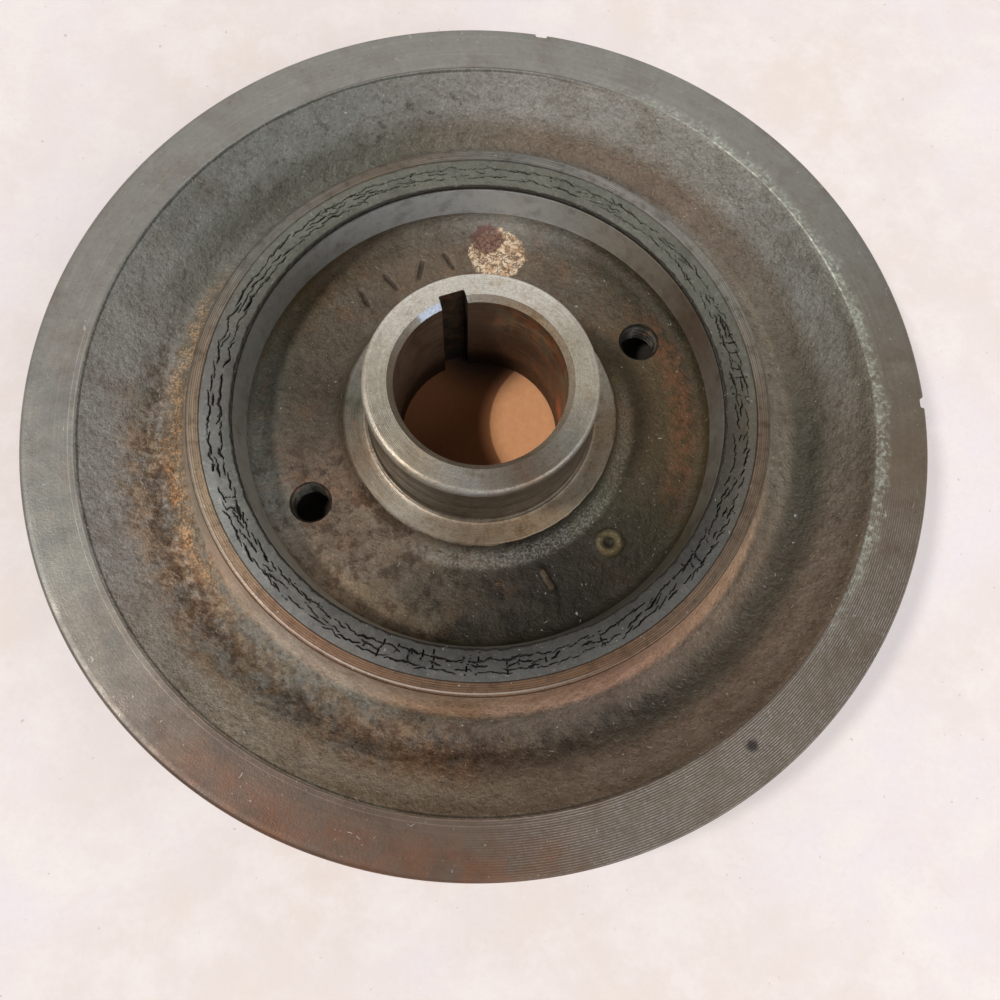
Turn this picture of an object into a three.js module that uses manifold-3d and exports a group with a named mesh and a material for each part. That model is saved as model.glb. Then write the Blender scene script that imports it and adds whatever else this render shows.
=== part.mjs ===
// Crankshaft damper pulley for one V belt, lying with its front side down.
// Three bonded pieces on one axis: a cast hub, a rubber ring, and an outer ring with the belt groove.
// Millimetres, +Z up along the axis. The origin is on the axis in the plane of the front faces.
import * as THREE from "three";
import { mergeVertices } from "three/addons/utils/BufferGeometryUtils.js";
import Module from "manifold-3d";

// Whole pulley
const RIM_R = 86;
const RIM_WIDTH = 19;
const TURN_SEGMENTS = 72;
const CURVE_STEPS = 5;
const CLEARANCE = 0.3;

// Belt groove
const GROOVE_TOP_WIDTH = 12.8;
const GROOVE_DEPTH = 13;
const GROOVE_SIDE_ANGLE = THREE.MathUtils.degToRad(18);
const RIM_CHAMFER = 0.7;

// Outer ring: rear dish, front recess, and the collar that the rubber holds
const RIM_FACE_INNER_R = 75.9;
const DISH_FOOT_R = 68.5;
const DISH_FOOT_Z = 12.4;
const TROUGH_R = 63.2;
const TROUGH_Z = 9.3;
const LIP_R = 55.2;
const LIP_ROUND = 0.5;
const FRONT_RECESS_DEPTH = 3;
const FRONT_RECESS_INNER_R = 57.5;
const FRONT_RECESS_OUTER_R = 71;

// Timing notches in the rear flange
const NOTCH_WIDTH = 2.5;
const NOTCH_DEPTH = 1;
const NOTCH_LENGTH = 4;
const NOTCH_ANGLES = [87.8, 6.8];

// Rubber ring: a thin wall between the irons, with a skin over both ends
const BOND_INNER_R = 48.8;
const BOND_OUTER_R = 51.2;
const SKIN_OUTER_R = 52.8;
const SKIN_REAR_INNER_R = 47;
const SKIN_FRONT_INNER_R = 46;
const SKIN_THICKNESS = 1.2;

// Hub: rim, web, shoulder and nose
const RIM_WALL_TOP_R = 46.95;
const RIM_WALL_FOOT_R = 45.8;
const RIM_WALL_FOOT_Z = 11.1;
const WEB_OUTER_R = 42.5;
const WEB_INNER_R = 31.5;
const WEB_REAR_Z = 8.7;
const WEB_THICKNESS = 5.3;
const SHOULDER_R = 26.8;
const SHOULDER_Z = 12.7;
const NOSE_R = 21.8;
const NOSE_TOP_Z = 28.9;
const NOSE_FOOT_FILLET = 0.8;
const NOSE_EDGE_ROUND = 1;
const FRONT_BOSS_R = 29;

// Crankshaft bore, keyway, and the two tapped holes for a puller
const BORE_R = 16;
const BORE_CHAMFER_TOP = 1.1;
const BORE_CHAMFER_FRONT = 0.8;
const KEYWAY_WIDTH = 5;
const KEYWAY_BOTTOM_R = 18.1;
const KEYWAY_ANGLE = 114.5;
const PULLER_HOLE_R = 4.1;
const PULLER_CIRCLE_R = 37.2;
const PULLER_ANGLES = [34.5, 214.5];
const HOLE_SEGMENTS = 24;

// Small round boss cast on the web
const BOSS_R = 2.6;
const BOSS_HEIGHT = 0.7;
const BOSS_CIRCLE_R = 35.7;
const BOSS_ANGLE = -38.8;

const wasm = await Module();
wasm.setup();

// A closed geometry as a manifold-3d solid.
function solidFrom(geometry) {
  const bare = geometry.clone();
  bare.deleteAttribute("normal");
  bare.deleteAttribute("uv");
  const merged = mergeVertices(bare, 1e-4);
  return new wasm.Manifold(
    new wasm.Mesh({
      numProp: 3,
      vertProperties: merged.attributes.position.array,
      triVerts: new Uint32Array(merged.index.array),
    }),
  );
}

function geometryFrom(solid) {
  const mesh = solid.getMesh();
  const geometry = new THREE.BufferGeometry();
  geometry.setAttribute("position", new THREE.BufferAttribute(mesh.vertProperties, 3));
  geometry.setIndex(new THREE.BufferAttribute(mesh.triVerts, 1));
  geometry.computeVertexNormals();
  return geometry;
}

// A closed profile in (radius, height), drawn counter-clockwise, turned about +Z.
function turned(profile) {
  profile.closePath();
  const points = profile.getPoints(CURVE_STEPS);
  return new THREE.LatheGeometry(points, TURN_SEGMENTS).rotateX(Math.PI / 2);
}

// Moves a geometry out along +X by radius, then round the axis by degrees.
function placed(geometry, radius, degrees, z) {
  return geometry
    .translate(radius, 0, z)
    .rotateZ(THREE.MathUtils.degToRad(degrees));
}

function pulleyRing() {
  const middle = RIM_WIDTH / 2;
  const halfTop = GROOVE_TOP_WIDTH / 2;
  const halfBottom = halfTop - GROOVE_DEPTH * Math.tan(GROOVE_SIDE_ANGLE);
  const grooveR = RIM_R - GROOVE_DEPTH;
  const rebateR = SKIN_OUTER_R + CLEARANCE;
  const rebateDepth = SKIN_THICKNESS + CLEARANCE;

  const profile = new THREE.Path();
  profile.moveTo(rebateR, 0);
  profile.lineTo(FRONT_RECESS_INNER_R - FRONT_RECESS_DEPTH / 2, 0);
  profile.lineTo(FRONT_RECESS_INNER_R, FRONT_RECESS_DEPTH);
  profile.lineTo(FRONT_RECESS_OUTER_R, FRONT_RECESS_DEPTH);
  profile.lineTo(FRONT_RECESS_OUTER_R + FRONT_RECESS_DEPTH / 2, 0);
  profile.lineTo(RIM_R - RIM_CHAMFER, 0);
  profile.lineTo(RIM_R, RIM_CHAMFER);
  profile.lineTo(RIM_R, middle - halfTop);
  profile.lineTo(grooveR, middle - halfBottom);
  profile.lineTo(grooveR, middle + halfBottom);
  profile.lineTo(RIM_R, middle + halfTop);
  profile.lineTo(RIM_R, RIM_WIDTH - RIM_CHAMFER);
  profile.lineTo(RIM_R - RIM_CHAMFER, RIM_WIDTH);
  profile.lineTo(RIM_FACE_INNER_R, RIM_WIDTH);
  profile.lineTo(DISH_FOOT_R, DISH_FOOT_Z);
  profile.quadraticCurveTo(DISH_FOOT_R - 3.4, TROUGH_Z, TROUGH_R, TROUGH_Z);
  profile.quadraticCurveTo(LIP_R + 1.4, TROUGH_Z, LIP_R + LIP_ROUND, RIM_WIDTH - LIP_ROUND);
  profile.lineTo(LIP_R, RIM_WIDTH);
  profile.lineTo(rebateR, RIM_WIDTH);
  profile.lineTo(rebateR, RIM_WIDTH - rebateDepth);
  profile.lineTo(BOND_OUTER_R, RIM_WIDTH - rebateDepth);
  profile.lineTo(BOND_OUTER_R, rebateDepth);
  profile.lineTo(rebateR, rebateDepth);

  let ring = solidFrom(turned(profile));
  for (const angle of NOTCH_ANGLES) {
    const cutter = new THREE.BoxGeometry(2 * NOTCH_DEPTH, NOTCH_WIDTH, NOTCH_LENGTH);
    const notch = placed(cutter, RIM_R, angle, RIM_WIDTH);
    ring = ring.subtract(solidFrom(notch));
  }
  return geometryFrom(ring);
}

function damperRubber() {
  const innerR = BOND_INNER_R + CLEARANCE;
  const outerR = BOND_OUTER_R - CLEARANCE;
  const rearSkinZ = RIM_WIDTH - SKIN_THICKNESS;

  const profile = new THREE.Path();
  profile.moveTo(SKIN_FRONT_INNER_R, 0);
  profile.lineTo(SKIN_OUTER_R, 0);
  profile.lineTo(SKIN_OUTER_R, SKIN_THICKNESS);
  profile.lineTo(outerR, SKIN_THICKNESS);
  profile.lineTo(outerR, rearSkinZ);
  profile.lineTo(SKIN_OUTER_R, rearSkinZ);
  profile.lineTo(SKIN_OUTER_R, RIM_WIDTH);
  profile.lineTo(SKIN_REAR_INNER_R, RIM_WIDTH);
  profile.lineTo(SKIN_REAR_INNER_R, rearSkinZ);
  profile.lineTo(innerR, rearSkinZ);
  profile.lineTo(innerR, SKIN_THICKNESS);
  profile.lineTo(SKIN_FRONT_INNER_R, SKIN_THICKNESS);
  return turned(profile);
}

function hubBody() {
  const rimEnd = SKIN_THICKNESS + CLEARANCE;
  const webFrontZ = WEB_REAR_Z - WEB_THICKNESS;

  const profile = new THREE.Path();
  profile.moveTo(BORE_R + BORE_CHAMFER_FRONT, 0);
  profile.lineTo(FRONT_BOSS_R, 0);
  profile.lineTo(FRONT_BOSS_R + 2, webFrontZ);
  profile.lineTo(WEB_OUTER_R, webFrontZ);
  profile.lineTo(RIM_WALL_FOOT_R - 0.4, rimEnd);
  profile.lineTo(BOND_INNER_R, rimEnd);
  profile.lineTo(BOND_INNER_R, RIM_WIDTH - rimEnd);
  profile.lineTo(RIM_WALL_TOP_R, RIM_WIDTH - rimEnd);
  profile.lineTo(RIM_WALL_FOOT_R, RIM_WALL_FOOT_Z);
  profile.quadraticCurveTo(RIM_WALL_FOOT_R - 0.5, WEB_REAR_Z, WEB_OUTER_R, WEB_REAR_Z);
  profile.lineTo(WEB_INNER_R, WEB_REAR_Z);
  profile.quadraticCurveTo(SHOULDER_R + 1.2, WEB_REAR_Z, SHOULDER_R, SHOULDER_Z - 0.3);
  profile.lineTo(SHOULDER_R - 0.3, SHOULDER_Z);
  profile.lineTo(NOSE_R + NOSE_FOOT_FILLET, SHOULDER_Z);
  profile.quadraticCurveTo(NOSE_R, SHOULDER_Z, NOSE_R, SHOULDER_Z + NOSE_FOOT_FILLET);
  profile.lineTo(NOSE_R, NOSE_TOP_Z - NOSE_EDGE_ROUND);
  profile.quadraticCurveTo(NOSE_R, NOSE_TOP_Z, NOSE_R - NOSE_EDGE_ROUND, NOSE_TOP_Z);
  profile.lineTo(BORE_R + BORE_CHAMFER_TOP, NOSE_TOP_Z);
  profile.lineTo(BORE_R, NOSE_TOP_Z - BORE_CHAMFER_TOP);
  profile.lineTo(BORE_R, BORE_CHAMFER_FRONT);

  let hub = solidFrom(turned(profile));

  const boss = new THREE.CylinderGeometry(BOSS_R, BOSS_R, 2 * BOSS_HEIGHT, HOLE_SEGMENTS);
  boss.rotateX(Math.PI / 2);
  hub = hub.add(solidFrom(placed(boss, BOSS_CIRCLE_R, BOSS_ANGLE, WEB_REAR_Z)));

  const keyway = new THREE.BoxGeometry(KEYWAY_BOTTOM_R, KEYWAY_WIDTH, 2 * NOSE_TOP_Z);
  const keywayR = KEYWAY_BOTTOM_R / 2;
  hub = hub.subtract(solidFrom(placed(keyway, keywayR, KEYWAY_ANGLE, NOSE_TOP_Z / 2)));

  for (const angle of PULLER_ANGLES) {
    const drill = new THREE.CylinderGeometry(
      PULLER_HOLE_R,
      PULLER_HOLE_R,
      3 * WEB_THICKNESS,
      HOLE_SEGMENTS,
    );
    drill.rotateX(Math.PI / 2);
    hub = hub.subtract(solidFrom(placed(drill, PULLER_CIRCLE_R, angle, WEB_REAR_Z)));
  }
  return geometryFrom(hub);
}

function named(name, geometry, material) {
  const mesh = new THREE.Mesh(geometry, material);
  mesh.name = name;
  return mesh;
}

const wornIron = new THREE.MeshStandardMaterial({
  color: 0x4c453b,
  roughness: 0.5,
  metalness: 0.7,
});
const agedIron = new THREE.MeshStandardMaterial({
  color: 0x453e37,
  roughness: 0.6,
  metalness: 0.6,
});
const rubber = new THREE.MeshStandardMaterial({
  color: 0x2c2d2c,
  roughness: 0.85,
  metalness: 0,
});

const pulley = new THREE.Group();
pulley.add(named("hub", hubBody(), wornIron));
pulley.add(named("damper_rubber", damperRubber(), rubber));
pulley.add(named("pulley_ring", pulleyRing(), agedIron));

export default pulley;
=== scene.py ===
"""The looks of a crankshaft damper pulley: hub, cracked rubber ring and belt ring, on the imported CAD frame.
Outlines are in millimetres in the CAD part's own frame, and every mesh is scaled to metres as it is made."""
import math

import bpy
import numpy as np
from mathutils import Matrix, Vector


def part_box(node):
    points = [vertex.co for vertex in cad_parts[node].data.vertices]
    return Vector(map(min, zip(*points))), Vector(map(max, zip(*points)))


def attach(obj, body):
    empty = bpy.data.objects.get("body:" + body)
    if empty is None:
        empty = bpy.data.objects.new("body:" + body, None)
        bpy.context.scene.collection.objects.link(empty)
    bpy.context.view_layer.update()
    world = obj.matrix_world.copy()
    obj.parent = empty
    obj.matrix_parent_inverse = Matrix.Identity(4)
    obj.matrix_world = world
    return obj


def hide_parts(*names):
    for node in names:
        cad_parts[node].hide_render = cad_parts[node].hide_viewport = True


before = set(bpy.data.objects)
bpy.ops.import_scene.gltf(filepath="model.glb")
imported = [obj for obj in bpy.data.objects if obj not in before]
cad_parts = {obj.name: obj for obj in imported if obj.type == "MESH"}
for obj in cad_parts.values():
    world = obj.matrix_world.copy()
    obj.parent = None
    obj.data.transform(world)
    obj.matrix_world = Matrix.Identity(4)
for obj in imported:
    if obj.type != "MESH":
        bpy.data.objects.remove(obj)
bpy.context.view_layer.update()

MM = 0.001

# Sizes taken from the frame, in millimetres
RING_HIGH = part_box("pulley_ring")[1] / MM
HUB_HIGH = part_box("hub")[1] / MM
RUBBER_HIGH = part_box("damper_rubber")[1] / MM
RIM_R = RING_HIGH.x
WIDTH = RING_HIGH.z
NOSE_TOP = HUB_HIGH.z
BOND_INNER_R = HUB_HIGH.x
SKIN_OUTER_R = RUBBER_HIGH.x

# Belt ring
RIM_FACE_INNER_R = 75.9
RIM_CHAMFER = 0.7
TROUGH_R, TROUGH_Z = 63.2, 9.3
DISH_FOOT_R, DISH_FOOT_Z = 68.5, 12.4
LIP_R = 55.2
BOND_OUTER_R = 51.2
GROOVE_TOP_HALF, GROOVE_BOTTOM_HALF, GROOVE_DEPTH = 6.4, 2.18, 13.0
FRONT_RECESS = 3.0
RECESS_INNER_R, RECESS_OUTER_R, RECESS_SLOPE = 57.5, 71, 1.5
EDGE_BREAK = 0.35           # length of the rounding where the groove meets the rim
NOTCH_ANGLES = (87.8, 6.8)
LATHE_PITCH = 0.42
ROUGH = ("cast", "skin")    # finishes with relief

# Hub
WEB_Z, WEB_THICKNESS = 8.7, 5.3
WALL_TOP_R, WALL_FOOT_R, WALL_FOOT_Z = 46.95, 45.8, 11.1
SHOULDER_R, SHOULDER_Z = 26.8, 12.7
NOSE_R = 21.8
BORE_R = 16.0
KEYWAY_WIDTH, KEYWAY_BOTTOM_R, KEYWAY_ANGLE = 5.0, 18.1, 114.5
PULLER_CIRCLE_R, PULLER_ANGLES = 37.2, (34.5, 214.5)
THREAD_MAJOR_R, THREAD_MINOR_R, THREAD_PITCH = 4.1, 3.42, 1.25
SEAL_TRACKS = ((4.2, 0.22), (7.4, 0.3), (9.0, 0.16))
BOSS_CIRCLE_R, BOSS_ANGLE = 35.7, -38.8
# Plain strokes on the web: circle radius, angle, turn, half length, half breadth, height
HUB_MARKS = (
    (35.2, -62.0, 8.0, 2.6, 0.8, 0.75),
    (36.2, 107.0, 20.0, 2.3, 0.5, -0.5),
    (35.8, 117.0, -30.0, 2.4, 0.5, -0.52),
    (35.8, 128.0, 10.0, 2.5, 0.52, -0.5),
    (35.9, 138.5, -15.0, 2.4, 0.52, -0.52),
)
WEB_INNER_R, WEB_OUTER_R = 31.5, 42.5
FRONT_BOSS_R, FRONT_BOSS_FOOT_R = 29, 31
NOSE_FOOT_R = 22.55
NOSE_STEP, BORE_CHAMFER = 0.4, 1.1
PAINT_R, PAINT_ANGLE = 37.7, 91.0

# Rubber ring
SKIN_THICKNESS = 1.2
SKIN_MIDDLE_R = 50
SKIN_INNER_R, SKIN_EDGE_R = 47.05, 53.06
SKIN_TOP_GAP, BOND_GAP = 0.08, 0.05
RUBBER_FOOT_R, RUBBER_FRONT_R = 46.1, 52.7
DEGREES_PER_RADIAN = 57.3
ROUND_CRACKS = ((51.3, 0.95), (50.3, 0.4), (49.25, 0.92))    # radius and share of the circle
# Where the skin has cracks straight across it
CROSS_CRACKS = (21, 18.6, 16.4, 14.6, 12.5, 8.2, -31, -33, -58, -70, -75.5, -78, -84, -86, -93, -95.5,
                -98, -101, -104, -146, -148, -150.5)

# Camera, where the viewer stands over the part, looking down, and key light
CAMERA_AT = Vector((0.00588, -0.06932, 0.18926))
CAMERA_TILT, CAMERA_ROLL = 73.62, 6.562
CAMERA_LENS = 34.57
KEY_AZIMUTH, KEY_RISE = 14, 57

# Stage
FLOOR_HALF, FLOOR_Z = 2500, -0.2
SHADE_DISC_EDGE = (60, 64)        # the painted shade under the pulley: a dark disc fading out between these radii
PAPER_EDGE = (19, 21)       # the brown paper under the bore


# -------- repeatable noise

def lattice(ix, iy, iz, seed):
    """A repeatable number from 0 to 1 for each whole-number point."""
    h = (ix * 374761393 + iy * 668265263 + iz * 1440662683 + seed * 144665) & 0xFFFFFFFF
    h = ((h ^ (h >> 13)) * 1274126177) & 0xFFFFFFFF
    return ((h ^ (h >> 16)) & 0xFFFFFF) / float(0xFFFFFF)


def noise(points, size, seed):
    """Smooth noise from -1 to 1 at points, with blobs about size across."""
    scaled = points / size
    cell = np.floor(scaled).astype(np.int64)
    part = scaled - cell
    part = part * part * (3 - 2 * part)
    total = np.zeros(len(points))
    for corner in range(8):
        step = np.array([(corner >> k) & 1 for k in range(3)])
        weight = np.prod(np.where(step, part, 1 - part), axis=1)
        total += weight * lattice(*(cell + step).T, seed)
    return 2 * total - 1


def round_track(arc, size, seed):
    """Jagged noise from -1 to 1 along the rubber's middle circle, straight between knots about size apart."""
    length = 2 * math.pi * SKIN_MIDDLE_R
    count = round(length / size)
    knots = np.arange(count + 1)
    return 2 * np.interp(arc / length % 1.0 * count, knots, lattice(knots % count, 0, 0, seed)) - 1


def on_circle(radius, degrees):
    angle = math.radians(degrees)
    return np.array([radius * math.cos(angle), radius * math.sin(angle)])


# -------- meshes from turned outlines

class Outline:
    """A closed outline in (radius, height), counter-clockwise, with a finish for each stretch."""

    def __init__(self, r, z):
        self.points, self.finishes = [(r, z)], []

    def line(self, finish, *stops):
        """A straight stretch to each (radius, height, step)."""
        for r, z, step in stops:
            r0, z0 = self.points[-1]
            count = max(1, round(math.hypot(r - r0, z - z0) / step))
            for k in range(1, count + 1):
                self.points.append((r0 + (r - r0) * k / count, z0 + (z - z0) * k / count))
                self.finishes.append(finish)

    def curve(self, cr, cz, r, z, finish, step):
        r0, z0 = self.points[-1]
        length = math.hypot(cr - r0, cz - z0) + math.hypot(r - cr, z - cz)
        count = max(3, round(length / step))
        for k in range(1, count + 1):
            t = k / count
            a, b, c = (1 - t) ** 2, 2 * t * (1 - t), t * t
            self.points.append((a * r0 + b * cr + c * r, a * z0 + b * cz + c * z))
            self.finishes.append(finish)

    def close(self, finish, step):
        self.line(finish, (*self.points[0], step))
        self.points.pop()


def row_directions(rows, rough):
    """How each row of an outline moves with the cast relief, as (radius, height) for each millimetre of it.
    Where a cast stretch meets a turned one, the shared row slides along the turned face."""
    ahead = np.roll(rows, -1, 0) - rows
    tangent = ahead / np.linalg.norm(ahead, axis=1)[:, None]
    normal = np.stack([tangent[:, 1], -tangent[:, 0]], 1)
    moves = np.zeros_like(rows)
    for i in range(len(rows)):
        before, after = rough[i - 1], rough[i]
        if before and after:
            moves[i] = normal[i - 1] + normal[i]
            moves[i] /= np.linalg.norm(moves[i])
        elif before or after:
            slide = tangent[i] if before else tangent[i - 1]
            lean = slide @ (normal[i - 1] if before else normal[i])
            if abs(lean) > 0.35:
                moves[i] = slide / lean
    return moves


def add(name, data):
    thing = bpy.data.objects.new(name, data)
    bpy.context.scene.collection.objects.link(thing)
    return thing


def mesh_object(name, vertices_mm, faces, materials=(), indices=None):
    mesh = bpy.data.meshes.new(name)
    mesh.from_pydata((np.asarray(vertices_mm) * MM).tolist(), [], faces)
    for material in materials:
        mesh.materials.append(material)
    if indices is not None:
        mesh.polygons.foreach_set("material_index", indices)
    mesh.update()
    return add(name, mesh)


def ring_faces(rows, segments, closed=True):
    """Quads between neighbouring rows of a turned grid, row by row."""
    row = np.arange(rows if closed else rows - 1)[:, None] * segments
    above = (row + segments) % (rows * segments)
    column = np.arange(segments)[None, :]
    beside = (column + 1) % segments
    return np.stack([row + column, row + beside, above + beside, above + column], -1).reshape(-1, 4)


def turned(name, outline, segments, materials, relief):
    """A closed turned mesh. materials gives {finish: material}, and relief(points) is how far the rough
    finishes stand out, in millimetres."""
    rows = np.array(outline.points)
    rough = [finish in ROUGH for finish in outline.finishes]
    moves = row_directions(rows, rough)
    angle = 2 * math.pi * np.arange(segments) / segments
    around = np.stack([np.cos(angle), np.sin(angle)], 1)
    grid = np.empty((len(rows), segments, 3))
    grid[..., :2] = rows[:, :1, None] * around
    grid[..., 2] = rows[:, 1:]
    moved = np.flatnonzero(np.abs(moves).sum(1) > 0)
    lift = relief(grid[moved].reshape(-1, 3)).reshape(len(moved), segments)
    grid[moved, :, :2] += (lift * moves[moved, :1])[..., None] * around
    grid[moved, :, 2] += lift * moves[moved, 1:]
    faces = ring_faces(len(rows), segments)
    slots = np.repeat([list(materials).index(finish) for finish in outline.finishes], segments)
    return mesh_object(name, grid.reshape(-1, 3), faces.tolist(), materials.values(), slots)


def finish_mesh(piece, sharp):
    """Smooth shading, with crisp edges where faces meet at more than sharp degrees."""
    mesh = piece.data
    mesh.polygons.foreach_set("use_smooth", [True] * len(mesh.polygons))
    mesh.set_sharp_from_angle(angle=math.radians(sharp))
    mesh.update()
    return piece


def cut(piece, cutters):
    """Cuts closed cutters out of a closed piece, and keeps the result as its mesh."""
    for cutter in cutters:
        step = piece.modifiers.new("cut", "BOOLEAN")
        step.operation, step.solver, step.object = "DIFFERENCE", "MANIFOLD", cutter
    graph = bpy.context.evaluated_depsgraph_get()
    made = bpy.data.meshes.new_from_object(piece.evaluated_get(graph))
    piece.modifiers.clear()
    old, piece.data = piece.data, made
    bpy.data.meshes.remove(old)
    for cutter in cutters:
        bpy.data.objects.remove(cutter)


def place_on_face(vertices, radius, degrees):
    """Moves vertices drawn about the origin out along +X and round the axis."""
    turn = np.array([on_circle(1, degrees), on_circle(1, degrees + 90)])
    out = np.array(vertices, float)
    out[:, :2] = (out[:, :2] + [radius, 0]) @ turn
    return out


def prism(name, outline_xy, low, high, radius, degrees, slot):
    """A closed upright prism for cutting, whose faces take the piece's material slot."""
    count = len(outline_xy)
    vertices = [(x, y, z) for z in (low, high) for x, y in outline_xy]
    sides = [(k, (k + 1) % count, count + (k + 1) % count, count + k) for k in range(count)]
    faces = [tuple(range(count))[::-1], tuple(range(count, 2 * count)), *sides]
    return mesh_object(name, place_on_face(vertices, radius, degrees), faces,
                       [None] * (slot + 1), [slot] * len(faces))


def rounded_box(half_x, half_y, corner, steps=4):
    """Corner-rounded rectangle about the origin, counter-clockwise."""
    points = []
    for k, (sx, sy) in enumerate(((1, 1), (-1, 1), (-1, -1), (1, -1))):
        for s in range(steps + 1):
            angle = math.pi / 2 * (k + s / steps)
            x = sx * (half_x - corner) + corner * math.cos(angle)
            y = sy * (half_y - corner) + corner * math.sin(angle)
            points.append((x, y))
    return points


# -------- materials

# The colours of the patina and of the painted light and shade
PATINA_AND_SHADE_TONES = dict(
    soot=(0.02, 0.015, 0.01), char=(0.04, 0.035, 0.02), peat=(0.06, 0.05, 0.035),
    coal=(0.054, 0.051, 0.045), umber=(0.075, 0.053, 0.025), moss=(0.1, 0.1, 0.08),
    russet=(0.13, 0.073, 0.04), cocoa=(0.115, 0.08, 0.06), earth=(0.11, 0.09, 0.065),
    graphite=(0.115, 0.108, 0.098), olive=(0.13, 0.13, 0.105), loam=(0.14, 0.1, 0.07),
    clay=(0.16, 0.125, 0.09), lead=(0.165, 0.165, 0.15), copper=(0.19, 0.105, 0.06),
    sienna=(0.2, 0.15, 0.105), stone=(0.21, 0.2, 0.175), slate=(0.248, 0.235, 0.212),
    tan=(0.27, 0.2, 0.13), dun=(0.29, 0.245, 0.185), mist=(0.31, 0.285, 0.26), fog=(0.32, 0.29, 0.24),
    ash=(0.42, 0.38, 0.31), blued=(0.44, 0.45, 0.44), bright=(0.6, 0.56, 0.5),
)
# Which colour lies where, at equal steps round the axis from -180 degrees: partly patina, cooler at the back
# left, browner in front, and partly painted light and shade, lighter or darker as each side faces the lamps
WHEELS = dict(
    face="slate stone cocoa cocoa clay clay clay stone slate slate slate slate",
    flank="slate mist dun sienna loam loam earth lead stone slate lead lead",
    dish="slate mist lead loam peat peat char earth loam clay olive olive",
    trough="lead stone lead earth cocoa sienna dun dun slate lead olive lead",
    lip="sienna tan copper russet russet loam loam stone slate lead clay lead",
    rubber="graphite lead graphite coal coal coal peat moss olive olive olive olive",
    band="stone fog ash fog moss earth stone loam fog blued blued stone",
    web_out="moss stone tan char soot char umber char peat stone earth umber",
    web="peat loam clay peat soot char umber umber earth clay clay earth",
    shoulder="olive sienna fog sienna tan dun tan ash ash ash ash mist",
    nose="ash fog dun slate loam stone ash ash bright bright bright bright",
    chamfer="clay clay clay dun tan slate",
    nose_wall="earth earth loam earth",
    front="sienna clay sienna",
)
SPECULAR = "Specular IOR Level"


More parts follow.
